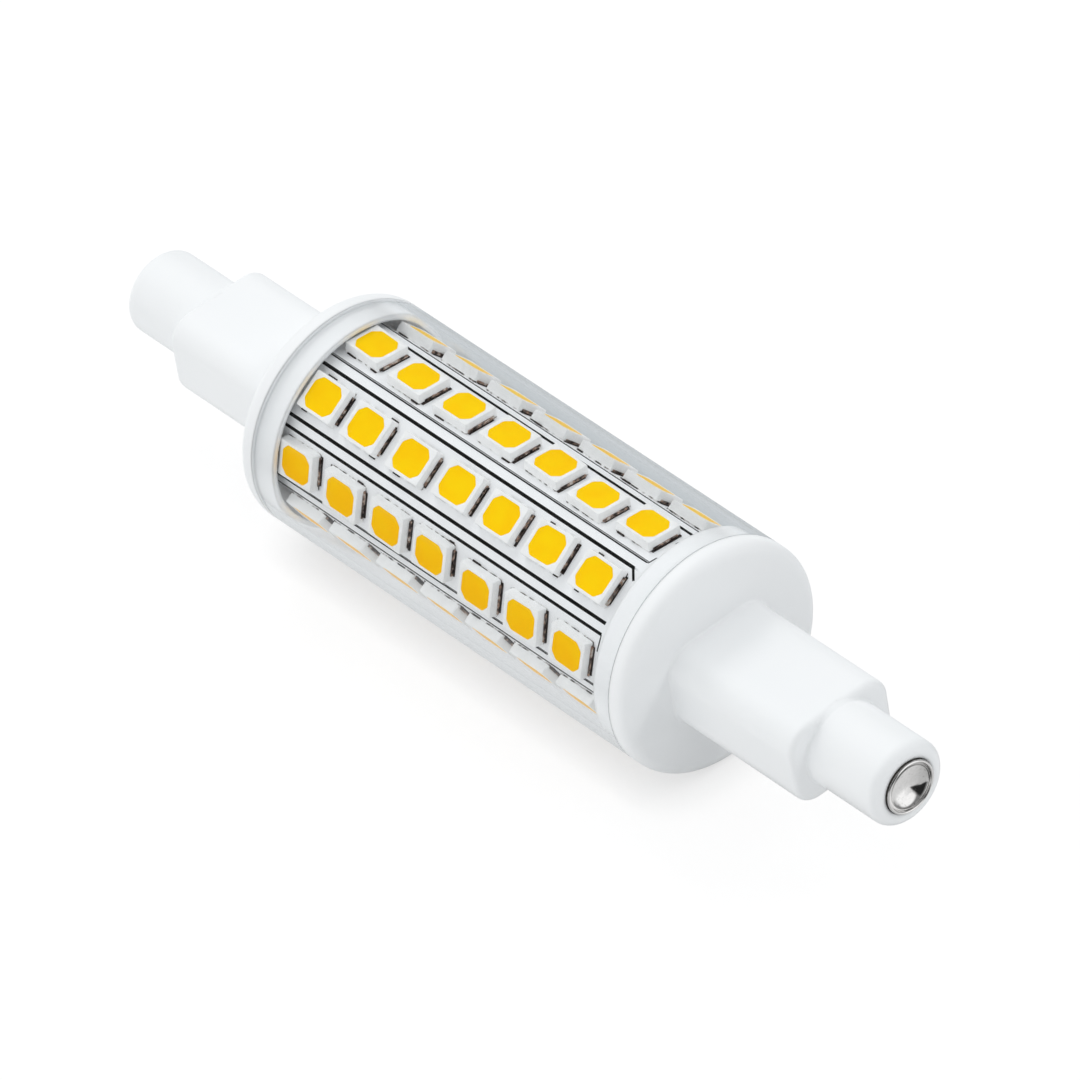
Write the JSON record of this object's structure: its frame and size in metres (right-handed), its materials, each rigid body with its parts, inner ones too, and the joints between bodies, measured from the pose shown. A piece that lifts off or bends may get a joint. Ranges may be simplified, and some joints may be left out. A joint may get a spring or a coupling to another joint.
{
  "type": "linear led bulb",
  "caption": "Double-ended linear LED bulb: a clear tube over a folded board of LEDs, with moulded end caps and hollow-faced end contacts.",
  "frame": {"origin": "middle of the lamp, on its axis", "axes": "+X along the lamp towards the right-hand base, +Z normal to the flats of the end caps' necks"},
  "size_m": [0.0786, 0.0175, 0.0174],
  "materials": {
    "clear_tube": "clear",
    "white_cap": "satin",
    "contact_metal": "polished nickel plate",
    "board_white": "white solder mask",
    "led_body": "moulded",
    "phosphor": "smooth",
    "lead_metal": "tinned",
    "driver_green": "solder mask",
    "wire_white": "smooth",
    "resistor_body": "lacquered",
    "sleeve_white": "smooth",
    "capacitor_can": "satin",
    "chip_black": "moulded",
    "wire_red": "smooth",
    "wire_black": "smooth"
  },
  "bodies": {
    "root": {"clear_cover": "clear_tube", "end_cap_left": "white_cap", "end_cap_right": "white_cap", "contact_left": "contact_metal", "contact_right": "contact_metal", "led_board": "board_white", "led_packages_row_1": "led_body", "led_windows_row_1": "phosphor", "led_leads_row_1": "lead_metal", "led_packages_row_2": "led_body", "led_windows_row_2": "phosphor", "led_leads_row_2": "lead_metal", "led_packages_row_3": "led_body", "led_windows_row_3": "phosphor", "led_leads_row_3": "lead_metal", "led_packages_row_4": "led_body", "led_windows_row_4": "phosphor", "led_leads_row_4": "lead_metal", "led_packages_row_5": "led_body", "led_windows_row_5": "phosphor", "led_leads_row_5": "lead_metal", "led_packages_row_6": "led_body", "led_windows_row_6": "phosphor", "led_leads_row_6": "lead_metal", "led_packages_row_7": "led_body", "led_windows_row_7": "phosphor", "led_leads_row_7": "lead_metal", "led_packages_row_8": "led_body", "led_windows_row_8": "phosphor", "led_leads_row_8": "lead_metal", "led_packages_row_9": "led_body", "led_windows_row_9": "phosphor", "led_leads_row_9": "lead_metal", "driver_board": "driver_green", "lead_wire": "wire_white", "fuse_resistor": "resistor_body", "fuse_sleeve": "sleeve_white", "smoothing_capacitor": "capacitor_can", "capacitor_leads": "lead_metal", "bridge_rectifier": "chip_black", "bridge_rectifier_leads": "lead_metal", "driver_chip": "chip_black", "driver_chip_leads": "lead_metal", "sense_resistors": "resistor_body", "feed_wire_positive": "wire_red", "feed_wire_negative": "wire_black"}
  },
  "joints": []
}
